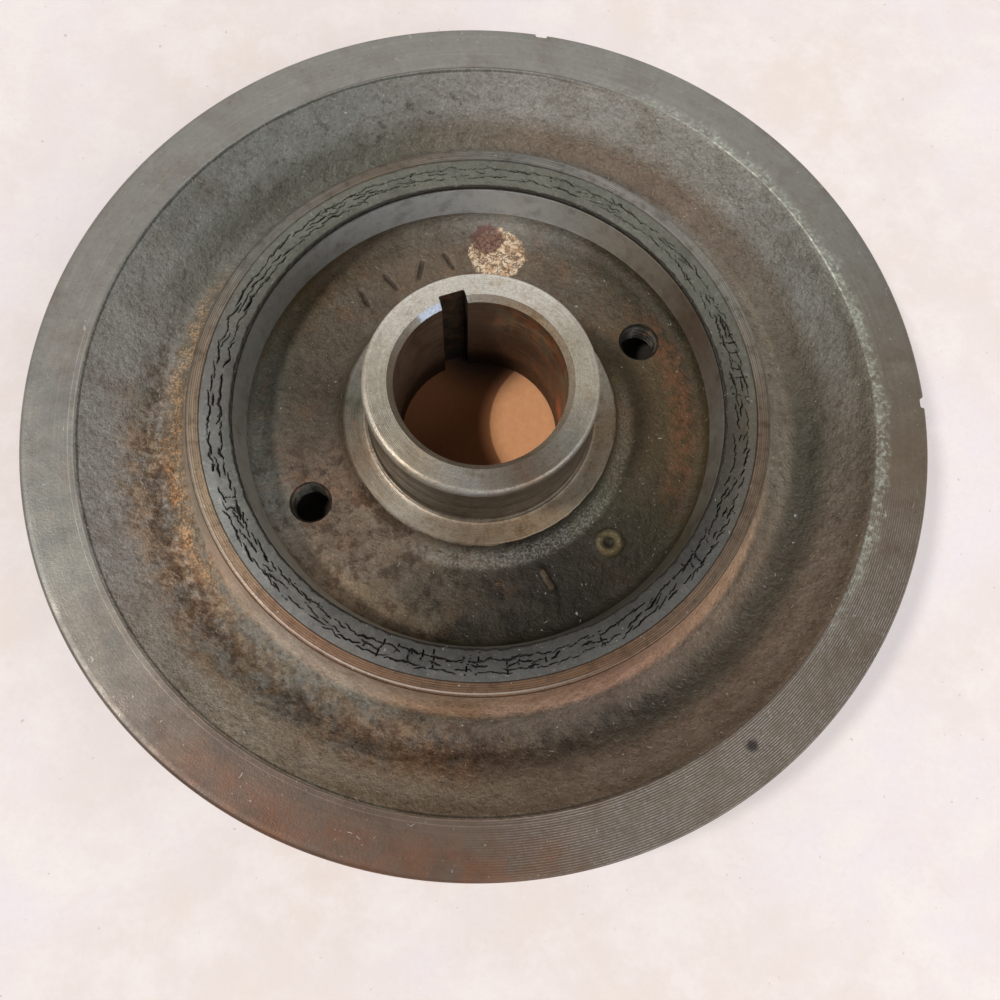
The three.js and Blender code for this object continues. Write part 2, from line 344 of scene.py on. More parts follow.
class Paint:
    """One material's node tree, built by short calls: masks, and a base colour with stains, rust, wear and
    some painted light and shade worked over it. Sizes are in millimetres."""

    def __init__(self, name, wheel=None):
        self.material = bpy.data.materials.new(name)
        self.material.use_nodes = True
        self.nodes = self.material.node_tree.nodes
        self.links = self.material.node_tree.links
        self.shader = self.nodes["Principled BSDF"]
        place = self.nodes.new("ShaderNodeTexCoord").outputs["Object"]
        self.place = self.vector("SCALE", place, scale=1 / MM)
        self.flat = self.vector("MULTIPLY", self.place, (1, 1, 0))
        self.radius = self.vector("LENGTH", self.flat)
        self.heading = self.vector("NORMALIZE", self.flat)
        self.height = self.node("SeparateXYZ", [self.place]).outputs["Z"]
        self.base = self.wheel(wheel) if wheel else None

    def node(self, kind, inputs=(), **settings):
        made = self.nodes.new("ShaderNode" + kind)
        for key, value in settings.items():
            setattr(made, key, value)
        return self.fill(made, inputs if isinstance(inputs, dict) else dict(enumerate(inputs)))

    def fill(self, node, inputs):
        """Links or sets a node's inputs, by name or by place."""
        for key, value in inputs.items():
            if isinstance(value, bpy.types.NodeSocket):
                self.links.new(value, node.inputs[key])
            elif value is not None:
                node.inputs[key].default_value = value
        return node

    def vector(self, operation, first, second=None, scale=None):
        made = self.node("VectorMath", [first, second, None, scale], operation=operation)
        return made.outputs["Value" if operation in ("LENGTH", "DOT_PRODUCT") else "Vector"]

    def math(self, operation, first, second=None, third=None):
        return self.node("Math", [first, second, third], operation=operation).outputs[0]

    def times(self, first, *others):
        for other in others:
            first = self.math("MULTIPLY", first, other)
        return first

    def inverse(self, share):
        return self.math("SUBTRACT", 1.0, share)

    def jagged(self, value, size, detail, rough, swing):
        """value, pushed up and down by as much as half of swing."""
        push = self.math("MULTIPLY_ADD", self.noise(size, detail, rough), swing, -swing / 2)
        return self.math("ADD", value, push)

    def noise(self, size, detail=4.0, rough=0.6, place=None, warp=0.0):
        inputs = {"Vector": place or self.place, "Scale": 1 / size, "Detail": detail,
                  "Roughness": rough, "Distortion": warp}
        return self.node("TexNoise", inputs).outputs[0]

    def streaks(self, size, length):
        """Noise drawn out along circles about the axis: size across them, about length along them."""
        along = self.vector("SCALE", self.heading, scale=50 / length)
        across = self.node("CombineXYZ", [0.0, 0.0, self.times(self.radius, 1 / size)])
        up = self.times(self.height, 1 / size)
        lifted = self.node("CombineXYZ", [up, 0.0, 0.0])
        place = self.vector("ADD", self.vector("ADD", along, across.outputs[0]), lifted.outputs[0])
        return self.noise(1.0, 3.0, 0.65, place)

    def lathe_marks(self, pitch):
        wobble = self.times(self.noise(25.0, 1.0), 0.35)
        turns = self.math("ADD", self.times(self.radius, 1 / pitch), wobble)
        return self.math("SINE", self.times(turns, 2 * math.pi))

    def step(self, value, low, high):
        inputs = {"Value": value, "From Min": low, "From Max": high}
        return self.node("MapRange", inputs, interpolation_type="SMOOTHSTEP").outputs[0]

    def fall(self, value, low, high):
        """1 below low, falling to 0 at high."""
        return self.inverse(self.step(value, low, high))

    def sector(self, degrees, half, soft):
        """1 within half degrees of a direction round the axis, falling to 0 over soft degrees more."""
        lean = self.vector("DOT_PRODUCT", self.heading, (*on_circle(1, degrees), 0))
        low = math.cos(math.radians(min(half + soft, 180)))
        return self.step(lean, low, math.cos(math.radians(half)))

    def wheel(self, name, ragged=0.05):
        """Colour that changes round the axis, as WHEELS says, with ragged blends."""
        tones = [PATINA_AND_SHADE_TONES[word] for word in WHEELS[name].split()]
        parts = self.node("SeparateXYZ", [self.flat])
        turn = self.math("ARCTAN2", parts.outputs["Y"], parts.outputs["X"])
        push = self.math("MULTIPLY_ADD", self.noise(7.0, 4.0, 0.65), ragged, 0.5 - ragged / 2)
        place = self.math("FRACT", self.math("MULTIPLY_ADD", turn, 0.5 / math.pi, push))
        stops = [(k / len(tones), tone) for k, tone in enumerate(tones)]
        return self.ramp(place, *stops, (1.0, tones[0]))

    def band(self, value, low, high, soft):
        """1 where value is from low to high, with soft edges."""
        rise = self.step(value, low - soft, low + soft)
        return self.times(rise, self.fall(value, high - soft, high + soft))

    def patch(self, low, high, soft, degrees, half, fade):
        """1 in the part of a ring round the axis that also lies in a sector."""
        return self.times(self.band(self.radius, low, high, soft), self.sector(degrees, half, fade))

    def away(self, x, y, size=1.0, ragged=0.0):
        """Distance from a point of the face, pushed in and out by ragged in blobs about size across."""
        distance = self.vector("LENGTH", self.vector("SUBTRACT", self.flat, (x, y, 0)))
        return self.jagged(distance, size, 5.0, 0.7, 2 * ragged) if ragged else distance

    def near(self, x, y, reach, ragged=0.0):
        """1 at a point of the face and 0 past reach millimetres from it."""
        return self.fall(self.away(x, y, reach / 3, ragged / 2), 0.35 * reach, reach)

    def daub(self, radius, degrees, reach, ragged):
        """1 inside a round daub with a crisp, ragged edge."""
        distance = self.away(*on_circle(radius, degrees), 1.8, ragged)
        return self.fall(distance, reach - 0.25, reach + 0.25)

    def mix(self, share, first, second):
        return self.node("Mix", {0: share, 6: first, 7: second}, data_type="RGBA").outputs[2]

    def ramp(self, value, *stops):
        made = self.node("ValToRGB", [value])
        band = made.color_ramp
        while len(band.elements) < len(stops):
            band.elements.new(0.5)
        for element, (place, colour) in zip(band.elements, stops):
            element.position, element.color = place, (*colour, 1)
        return made.outputs[0]

    def bump(self, height, depth_mm, below=None):
        inputs = {"Strength": 1.0, "Distance": depth_mm * MM, "Height": height, "Normal": below}
        return self.node("Bump", inputs).outputs[0]

    def grain(self, size, detail, rough, depth_mm, below=None):
        return self.bump(self.noise(size, detail, rough), depth_mm, below)

    def done(self, roughness, metallic, normal, **sockets):
        self.fill(self.shader, {"Base Color": self.base, "Roughness": roughness, "Metallic": metallic,
                                "Normal": normal, **sockets})
        return self.material

    def tinted(self, base, share, factor):
        """base times factor where share is 1."""
        less = tuple(f - 1 for f in factor)
        blend = self.node("VectorMath", [share, less, (1, 1, 1)], operation="MULTIPLY_ADD")
        return self.vector("MULTIPLY", base, blend.outputs[0])

    def shade(self, share, factor):
        self.base = self.tinted(self.base, share, factor)

    def cover(self, share, colour):
        self.base = self.mix(share, self.base, colour)

    def cloud(self, size, low, high, detail=6.0, rough=0.7):
        return self.step(self.noise(size, detail, rough), low, high)

    def blotch(self, size, low, high, factor, where=None):
        """Shades the base in blotches about size across, all over or where the share is 1."""
        share = self.cloud(size, low, high)
        self.shade(share if where is None else self.times(where, share), factor)

    def weather(self, size):
        """Soft blotches at several sizes, dark and pale, and a speckle of grain."""
        self.blotch(size, 0.42, 0.72, (0.78, 0.73, 0.68))
        self.blotch(size * 0.6, 0.5, 0.75, (1.2, 1.2, 1.2))
        self.blotch(size / 5, 0.45, 0.7, (0.78, 0.74, 0.7))
        self.blotch(1.1, 0.5, 0.66, (0.76, 0.73, 0.7))
        self.blotch(0.6, 0.52, 0.66, (0.8, 0.77, 0.73))
        self.shade(self.cloud(0.45, 0.48, 0.68, 4.0), (1.38, 1.37, 1.34))

    def off_middle(self, size, detail, rough, warp=0.0):
        """How far a noise is from its middle value: 0 along winding lines."""
        field = self.noise(size, detail, rough, warp=warp)
        return self.math("ABSOLUTE", self.math("SUBTRACT", field, 0.5))

    def fibres(self, size=6.0):
        """Short curly fibres of lint, thin as hairs and far apart."""
        line = self.fall(self.off_middle(size, 1.0, 0.5, 0.6), 0.003, 0.007)
        here = self.times(line, self.step(self.noise(2.2, 1.0), 0.68, 0.71))
        self.cover(self.times(here, 0.6), (0.5, 0.49, 0.46, 1))

    def rust(self, size, low, high, where=None, share=0.6, colour=(0.26, 0.115, 0.04)):
        spots = self.times(self.cloud(size, low, high), share)
        if where is not None:
            spots = self.times(spots, where)
        self.cover(spots, (*colour, 1))

    def dust(self, size=0.7):
        specks = self.times(self.step(self.noise(size, 2.0), 0.71, 0.75), 0.6)
        self.cover(specks, (0.5, 0.46, 0.4, 1))

    def skin(self, scale=1.0):
        """The leathery bump of a sand casting."""
        broad = self.grain(2.6 * scale, 3.0, 0.55, 0.46 * scale)
        mid = self.grain(1.1 * scale, 4.0, 0.65, 0.35 * scale, broad)
        return self.grain(0.45, 3.0, 0.7, 0.12, mid)

    def sheen(self, low, high, size=2.5):
        return self.ramp(self.noise(size, 5.0, 0.7), (0.3, (low,) * 3), (0.7, (high,) * 3))


def dish_iron():
    """The ring's cast dish and front recess: rust at the left, stains and chalk in front, and painted light
    and shade by the lip and the face's edge.
    """
    rim = RIM_FACE_INNER_R
    p = Paint("dish_iron")
    flank = p.wheel("flank")
    bowl = p.mix(p.step(p.radius, 59.5, 64.5), p.wheel("trough"), p.wheel("dish"))
    p.base = p.mix(p.step(p.radius, 66.5, 70.5), bowl, flank)
    p.weather(12.0)
    rusty = p.patch(57.7, 62.6, 0.9, 190, 17, 24)
    p.rust(3.2, 0.36, 0.55, rusty, 0.75, (0.14, 0.1, 0.055))
    bright_rust = p.times(rusty, p.cloud(5.0, 0.36, 0.54))
    p.rust(0.5, 0.46, 0.58, bright_rust, 0.85, (0.54, 0.37, 0.215))
    fringe = p.patch(62.0, 66.5, 1.2, 203, 22, 18)
    p.blotch(2.2, 0.42, 0.58, (0.5, 0.42, 0.34), fringe)
    rolled = p.patch(LIP_R + 0.2, LIP_R + 2.8, 0.4, 184, 28, 22)
    p.cover(p.times(rolled, 0.72), (0.35, 0.285, 0.23, 1))
    front_left = p.patch(58.5, 69.5, 3.0, 232, 34, 24)
    p.blotch(5.0, 0.4, 0.6, (1.3, 1.04, 0.8), front_left)
    smudges = p.times(front_left, p.step(p.streaks(2.4, 14.0), 0.42, 0.66))
    p.shade(smudges, (0.76, 0.68, 0.6))
    p.blotch(1.5, 0.47, 0.58, (0.6, 0.52, 0.45), front_left)
    front = p.patch(61.0, 67.0, 2.0, 275, 26, 20)
    p.blotch(4.0, 0.42, 0.6, (0.5, 0.47, 0.45), front)
    back = p.patch(58.0, 62.5, 1.5, 88, 18, 16)
    p.blotch(1.8, 0.36, 0.56, (0.45, 0.44, 0.4), back)
    # Painted light: the wall just outside the lip lightened and warmed on the near side.
    lit_wall_outside_lip = p.patch(LIP_R, LIP_R + 3.2, 0.7, -78, 42, 36)
    p.shade(lit_wall_outside_lip, (3.0, 2.5, 2.3))
    chalk = p.patch(LIP_R + 1.4, LIP_R + 4.2, 1.2, 226, 24, 14)
    p.rust(1.1, 0.42, 0.6, chalk, 0.6, (0.42, 0.37, 0.3))
    runs = p.patch(66.0, 74.0, 2.0, 118, 16, 14)
    p.blotch(3.0, 0.56, 0.64, (0.55, 0.55, 0.53), runs)
    p.rust(1.1, 0.62, 0.7, p.cloud(9.0, 0.48, 0.6), 0.4)
    edge = p.times(p.band(p.radius, rim - 0.6, rim + 0.3, 0.2), p.cloud(3.0, 0.35, 0.55))
    p.shade(p.times(edge, p.sector(40, 60, 40)), (1.2, 1.2, 1.2))
    # Painted shade: a thin dark line on the flank just inside the face's inner edge, round the left side.
    corner = p.patch(rim - 0.5, rim - 0.15, 0.08, 190, 95, 30)
    p.shade(corner, (0.4, 0.4, 0.38))
    # Painted shade: the flank just below the face's inner edge darkened on the lower right.
    shade_below_face = p.patch(rim - 2.3, rim - 0.1, 1.2, -40, 55, 30)
    p.shade(shade_below_face, (0.74, 0.7, 0.62))
    p.dust()
    p.fibres()
    return p.done(p.sheen(0.38, 0.6), 0.2, p.skin())


def face_iron():
    """The ring's turned rear and front faces: lathe marks, wear along the inner edge, painted highlights and
    shade at that edge, and some rust.
    """
    p = Paint("face_iron", "face")
    edge = RIM_FACE_INNER_R
    turned_part = p.sector(-44, 18, 26)
    p.blotch(9.0, 0.44, 0.72, (0.85, 0.79, 0.75))
    p.blotch(3.0, 0.48, 0.75, (1.15, 1.17, 1.14))
    p.blotch(0.8, 0.5, 0.72, (0.82, 0.8, 0.78))
    p.shade(p.step(p.streaks(0.25, 30.0), 0.45, 0.7), (1.14, 1.13, 1.12))
    marks = p.lathe_marks(LATHE_PITCH)
    crests = p.times(p.step(marks, 0.2, 0.95), turned_part)
    dashes = p.times(p.cloud(0.7, 0.36, 0.58), p.cloud(5.0, 0.32, 0.55))
    p.cover(p.times(crests, dashes, 0.62), (0.4, 0.4, 0.41, 1))
    hollows = p.times(p.fall(marks, -0.95, -0.1), turned_part)
    p.shade(hollows, (0.72, 0.72, 0.74))
    ragged = p.jagged(p.radius, 5.0, 6.0, 0.75, 7.0)
    worn = p.times(p.fall(ragged, edge + 0.7, edge + 3.1), p.sector(25, 30, 34))
    p.rust(2.0, 0.38, 0.62, worn, 0.4, (0.4, 0.41, 0.34))
    p.rust(0.8, 0.47, 0.62, worn, 0.75, (0.52, 0.54, 0.46))
    outward = p.times(p.sector(-97, 12, 20), p.step(p.radius, edge + 0.1, RIM_R - 3))
    p.rust(6.0, 0.3, 0.66, outward, 0.7, (0.165, 0.066, 0.03))
    p.rust(1.4, 0.6, 0.68, p.cloud(11.0, 0.46, 0.6), 0.3, (0.2, 0.1, 0.045))
    smear = p.times(p.sector(-140, 30, 20), p.step(p.noise(7.0, 6.0, 0.7, warp=0.5), 0.42, 0.66))
    p.shade(smear, (0.78, 0.82, 0.86))
    # Painted highlights: two thin light lines just outside the face's inner edge, at the lower left.
    inner = p.band(p.radius, edge + 0.1, edge + 0.3, 0.1)
    second = p.band(p.radius, edge + 1.1, edge + 1.2, 0.08)
    p.shade(p.times(p.math("ADD", inner, second), p.sector(-125, 50, 20)), (1.9, 1.86, 1.8))
    # Painted shade: the small chamfer at the face's inner edge darkened on the right, where it faces the key
    # light.
    corner = p.patch(edge - 0.1, edge + 0.22, 0.04, 40, 70, 30)
    p.shade(corner, (0.6, 0.61, 0.6))
    spot = p.times(p.near(*on_circle(79.5, -47), 1.5, 0.8), p.step(p.height, 9.0, 10.0))
    p.cover(spot, (0.03, 0.022, 0.018, 1))
    lathe = p.bump(p.times(marks, turned_part), 0.05)
    fine = p.bump(p.streaks(0.2, 40.0), 0.01, lathe)
    grain = p.grain(0.45, 4.0, 0.7, 0.035, fine)
    p.dust()
    p.fibres()
    return p.done(p.sheen(0.34, 0.5), 0.4, grain)


def land_iron():
    """The outer lands beside the belt groove: turned, handled and lightly rusted."""
    p = Paint("land_iron")
    p.base = p.mix(p.cloud(7.0, 0.35, 0.65), (0.16, 0.13, 0.105, 1), (0.085, 0.06, 0.045, 1))
    p.rust(2.6, 0.52, 0.66, None, 0.7, (0.24, 0.095, 0.035))
    p.shade(p.step(p.streaks(0.3, 6.0), 0.55, 0.7), (1.9, 1.85, 1.8))
    bump = p.grain(0.5, 4.0, 0.7, 0.06, p.bump(p.streaks(0.25, 12.0), 0.05))
    return p.done(p.sheen(0.4, 0.66, 1.6), 0.4, bump)


def groove_iron():
    """Groove flanks polished by the belt, with belt dust and rust towards the bottom."""
    p = Paint("groove_iron")
    shine = p.streaks(0.22, 30.0)
    p.base = p.mix(p.step(shine, 0.35, 0.7), (0.3, 0.285, 0.265, 1), (0.46, 0.44, 0.41, 1))
    deep = p.jagged(p.radius, 2.4, 5.0, 0.7, 3.0)
    dirt = p.fall(deep, 74.5, 78.5)
    p.cover(p.times(dirt, 0.92), (0.035, 0.028, 0.023, 1))
    p.rust(1.8, 0.52, 0.63, p.cloud(14.0, 0.4, 0.62, 2.0), 0.75, (0.25, 0.1, 0.035))
    rough = p.math("MULTIPLY_ADD", dirt, 0.45, 0.27)
    bump = p.grain(0.4, 4.0, 0.7, 0.03, p.bump(shine, 0.03))
    return p.done(rough, 0.8, bump)


def lip_iron():
    """The narrow turned lip that holds the rubber."""
    p = Paint("lip_iron", "lip")
    p.shade(p.step(p.streaks(0.22, 16.0), 0.45, 0.62), (1.4, 1.37, 1.33))
    p.shade(p.step(p.lathe_marks(0.4), 0.2, 0.95), (0.55, 0.5, 0.45))
    p.blotch(2.4, 0.45, 0.68, (0.6, 0.56, 0.52))
    # Painted highlight: a silvery line along the lip's crest at the lower left.
    crest = p.band(p.radius, LIP_R - 0.25, LIP_R + 0.05, 0.06)
    crest_highlight = p.times(crest, p.sector(-120, 34, 34), 0.5)
    p.cover(crest_highlight, (0.5, 0.45, 0.4, 1))
    # Painted shade: the lip's rounded outer edge darkened on the left.
    rolled = p.times(p.step(p.radius, LIP_R - 0.4, LIP_R - 0.1), p.sector(165, 45, 25))
    p.shade(rolled, (0.7, 0.7, 0.7))
    p.shade(p.fall(p.radius, 53.1, 53.5), (0.6, 0.58, 0.56))
    bump = p.grain(0.5, 4.0, 0.7, 0.05, p.bump(p.streaks(0.2, 14.0), 0.06))
    p.dust()
    return p.done(p.sheen(0.36, 0.56, 1.5), 0.4, bump)


def web_iron():
    """The hub's cast web, with a daub of old paint beside the nose."""
    p = Paint("web_iron")
    p.base = p.mix(p.step(p.radius, 38.0, 43.0), p.wheel("web"), p.wheel("web_out"))
    p.weather(8.0)
    p.blotch(6.0, 0.5, 0.7, (1.25, 1.02, 0.9))
    stained = p.times(p.sector(-112, 40, 22), p.cloud(4.5, 0.48, 0.6))
    p.shade(stained, (0.5, 0.44, 0.4))
    ruddy = p.patch(38.5, 43.5, 1.6, 12, 16, 18)
    p.rust(2.2, 0.36, 0.62, ruddy, 0.65, (0.2, 0.085, 0.04))
    # Painted sheen: the fillet at the shoulder's foot lightened and cooled at the lower right, with pale
    # specks over it.
    sheen_strip = p.patch(SHOULDER_R + 0.8, SHOULDER_R + 3.8, 0.9, -42, 44, 32)
    p.shade(sheen_strip, (2.2, 2.3, 2.4))
    p.rust(0.5, 0.45, 0.6, sheen_strip, 0.42, (0.34, 0.33, 0.31))
    flat_web = p.band(p.radius, 33.0, 40.5, 0.4)
    raised = p.times(flat_web, p.step(p.height, WEB_Z + 0.25, WEB_Z + 0.6))
    p.shade(raised, (3.6, 3.5, 3.2))
    sunk = p.fall(p.height, WEB_Z - 0.34, WEB_Z - 0.16)
    p.shade(p.times(flat_web, sunk), (0.42, 0.4, 0.38))
    p.rust(1.2, 0.62, 0.7, p.cloud(9.0, 0.48, 0.6), 0.45)
    on_top = p.step(p.height, 6.0, 7.0)
    daub = p.times(p.daub(PAINT_R, PAINT_ANGLE, 5.9, 1.6), on_top)
    lines = p.step(p.off_middle(2.4, 3.0, 0.6), 0.005, 0.03)
    flecks = p.times(p.cloud(0.8, 0.38, 0.47), p.cloud(2.6, 0.28, 0.42), lines)
    flecks = p.math("MULTIPLY_ADD", flecks, 0.75, 0.22)
    cream = p.mix(p.cloud(1.6, 0.4, 0.6), (0.56, 0.35, 0.2, 1), (0.84, 0.66, 0.48, 1))
    p.cover(p.times(daub, flecks), cream)
    plum = p.times(p.daub(PAINT_R + 3.2, PAINT_ANGLE + 3.5, 3.4, 1.6), on_top)
    p.cover(p.times(plum, 0.8), (0.14, 0.06, 0.05, 1))
    bump = p.bump(p.times(daub, flecks), 0.15, p.skin(0.8))
    p.dust()
    p.fibres()
    return p.done(p.sheen(0.4, 0.62), 0.2, bump, **{SPECULAR: 0.32})


def band_iron():
    """The hub's smooth rim wall and its unseen bonded faces."""
    p = Paint("band_iron", "band")
    p.blotch(4.0, 0.45, 0.7, (0.72, 0.68, 0.66))
    p.blotch(1.3, 0.5, 0.7, (0.86, 0.82, 0.8))
    bump = p.grain(0.8, 4.0, 0.6, 0.05, p.bump(p.streaks(0.3, 12.0), 0.04))
    p.dust()
    return p.done(p.sheen(0.36, 0.52), 0.3, bump)


def turned_iron(name, stain, rust_share, low, high, metallic, worn_edge_and_highlight=None):
    """Turned iron of the nose, shoulder and front boss."""
    p = Paint(name + "_iron", name)
    p.shade(p.step(p.streaks(0.16, 24.0), 0.42, 0.66), (1.2, 1.19, 1.17))
    p.blotch(3.4, 0.46, 0.7, stain)
    p.blotch(1.1, 0.5, 0.68, (0.86, 0.83, 0.78))
    p.rust(2.2, 0.52, 0.66, None, rust_share, (0.3, 0.13, 0.045))
    # Painted reflection: a pale bluish patch on the bore's chamfer beside the keyway.
    if name == "chamfer":
        p.cover(p.sector(131, 6, 5), (0.46, 0.5, 0.6, 1))
    p.blotch(0.5, 0.48, 0.64, (0.78, 0.76, 0.72))
    p.blotch(0.35, 0.54, 0.66, (1.3, 1.3, 1.3))
    nicks = p.fall(p.noise(0.8, 3.0, 0.6), 0.25, 0.3)
    p.shade(nicks, (0.45, 0.42, 0.38))
    # The edge ring is lighter all round: partly wear and partly a painted highlight.
    if worn_edge_and_highlight:
        p.shade(p.band(p.radius, *worn_edge_and_highlight, 0.25), (1.3, 1.32, 1.36))
    marks = p.bump(p.lathe_marks(0.3), 0.005)
    bump = p.grain(0.45, 4.0, 0.7, 0.035, p.bump(p.streaks(0.16, 16.0), 0.035, marks))
    return p.done(p.sheen(low, high, 2.0), metallic, bump)


def bore_iron():
    """The crankshaft bore: rust film over a turned surface, with painted shade darker towards the front."""
    p = Paint("bore_iron")
    lines = p.step(p.streaks(0.25, 25.0), 0.4, 0.65)
    p.base = p.mix(lines, (0.075, 0.048, 0.03, 1), (0.15, 0.1, 0.065, 1))
    p.rust(3.0, 0.42, 0.66, p.sector(10, 50, 50), 0.6, (0.32, 0.1, 0.035))
    p.rust(6.0, 0.48, 0.7, None, 0.75, (0.05, 0.03, 0.02))
    ruddy = p.times(p.sector(4, 7, 14), p.band(p.height, 5.0, 13.0, 3.0))
    p.rust(3.0, 0.3, 0.55, ruddy, 0.8, (0.6, 0.14, 0.05))
    worn = p.times(p.sector(40, 34, 24), p.band(p.height, 17.0, 26.0, 3.0))
    p.blotch(5.0, 0.36, 0.6, (2.0, 2.2, 2.1), worn)
    # Painted shade: the bore darker towards the front, deep inside.
    low = p.fall(p.height, 4.0, 9.0)
    p.shade(low, (0.25, 0.22, 0.2))
    bump = p.grain(0.6, 5.0, 0.7, 0.08, p.bump(lines, 0.02))
    return p.done(p.sheen(0.4, 0.6), 0.35, bump)


def thread_iron():
    """Threads and keyway: oily dark iron with brighter crests."""
    p = Paint("thread_iron")
    p.base = p.mix(p.cloud(1.6, 0.4, 0.65), (0.022, 0.019, 0.013, 1), (0.055, 0.048, 0.036, 1))
    p.rust(2.4, 0.52, 0.66, None, 0.5, (0.16, 0.075, 0.035))
    return p.done(p.sheen(0.35, 0.5), 0.5, p.grain(0.3, 4.0, 0.7, 0.04))


def old_rubber():
    """Perished rubber: dry grey skin, dark in the cracks with dirt and painted shade."""
    p = Paint("old_rubber", "rubber")
    p.blotch(5.0, 0.44, 0.7, (0.72, 0.72, 0.72))
    p.blotch(1.2, 0.48, 0.7, (1.35, 1.33, 1.28))
    p.blotch(0.4, 0.5, 0.7, (0.6, 0.59, 0.57))
    inner_part = p.fall(p.radius, 47.6, 50.2)
    p.shade(p.times(inner_part, p.sector(-110, 110, 30)), (0.72, 0.73, 0.71))
    outer = p.times(p.step(p.radius, 50.6, 51.8), p.sector(-75, 75, 50))
    p.shade(outer, (1.45, 1.47, 1.52))
    # Dirt and painted shade: darker with depth in the cracks.
    deep = p.jagged(p.height, 0.7, 3.0, 0.6, 0.16)
    crack_dirt_and_shade = p.fall(deep, WIDTH - 0.42, WIDTH - 0.2)
    p.cover(p.times(crack_dirt_and_shade, 0.9), (0.012, 0.01, 0.008, 1))
    inner = p.fall(p.radius, 47.2, 47.6)
    p.rust(2.0, 0.3, 0.5, inner, 0.85, (0.025, 0.02, 0.014))
    bump = p.grain(0.3, 5.0, 0.7, 0.05, p.grain(1.3, 5.0, 0.7, 0.1))
    p.dust(0.5)
    p.fibres(4.0)
    return p.done(p.sheen(0.55, 0.8, 2.0), 0.0, bump, **{SPECULAR: 0.35})


# -------- hub

def cast_skin(points, coarse, fine, seed):
    """Relief of a sand-cast surface, in millimetres."""
    return (coarse * noise(points, 6.5, seed) + 0.6 * coarse * noise(points, 2.6, seed + 1)
            + fine * noise(points, 1.1, seed + 2))


def hub_relief(points):
    lift = cast_skin(points, 0.12, 0.05, 20)
    on_rear = points[:, 2] > 7.5
    boss = np.hypot(*(points[:, :2] - on_circle(BOSS_CIRCLE_R, BOSS_ANGLE)).T)
    ring = 0.85 * np.exp(-((boss - 2.0) / 0.7) ** 2)
    dimple = -0.6 * np.exp(-(boss / 0.8) ** 2)
    skirt = 0.3 * np.exp(-(boss / 2.6) ** 4)
    lift += on_rear * (ring + dimple + skirt)
    for radius, angle, turn, length, breadth, height in HUB_MARKS:
        away = points[:, :2] - on_circle(radius, angle)
        along = away @ on_circle(1, angle + turn)
        across = away @ on_circle(1, angle + turn + 90)
        lift += on_rear * height * np.exp(-(along / length) ** 6 - (across / breadth) ** 4)
    daub = np.hypot(*(points[:, :2] - on_circle(PULLER_CIRCLE_R, PAINT_ANGLE)).T)
    return lift + on_rear * 0.1 * np.exp(-(daub / 5.2) ** 10)


def thread_cutter(angle):
    """A closed helical thread form for a tapped hole, with a worn lead-in at the mouth."""
    around, per_turn = 40, 8
    low, high = WEB_Z - WEB_THICKNESS - 1.2, WEB_Z + 1.6
    rows = round((high - low) / THREAD_PITCH * per_turn)
    heights = np.linspace(low, high, rows + 1)
    phase = 2 * math.pi * np.arange(around) / around
    turns = heights[:, None] / THREAD_PITCH - phase[None, :] / (2 * math.pi)
    tooth = np.abs(2 * (turns % 1.0) - 1)
    depth = np.clip(1.25 * tooth - 0.12, 0, 1)
    radius = THREAD_MINOR_R + (THREAD_MAJOR_R - THREAD_MINOR_R) * depth
    mouth = THREAD_MAJOR_R - 0.1 + 0.6 * (heights - (WEB_Z - 0.3))[:, None]
    radius = np.where(heights[:, None] > WEB_Z - 0.6, np.maximum(radius, mouth), radius)
    wall = np.stack([radius * np.cos(phase), radius * np.sin(phase),
                     np.broadcast_to(heights[:, None], radius.shape)], -1).reshape(-1, 3)
    vertices = np.concatenate([wall, [[0, 0, low], [0, 0, high]]])
    faces = ring_faces(rows + 1, around, closed=False).tolist()
    bottom, top = len(wall), len(wall) + 1
    for k in range(around):
        beside = (k + 1) % around
        faces += [[bottom, beside, k], [top, rows * around + k, rows * around + beside]]
    return mesh_object("thread_cutter", place_on_face(vertices, PULLER_CIRCLE_R, angle), faces)


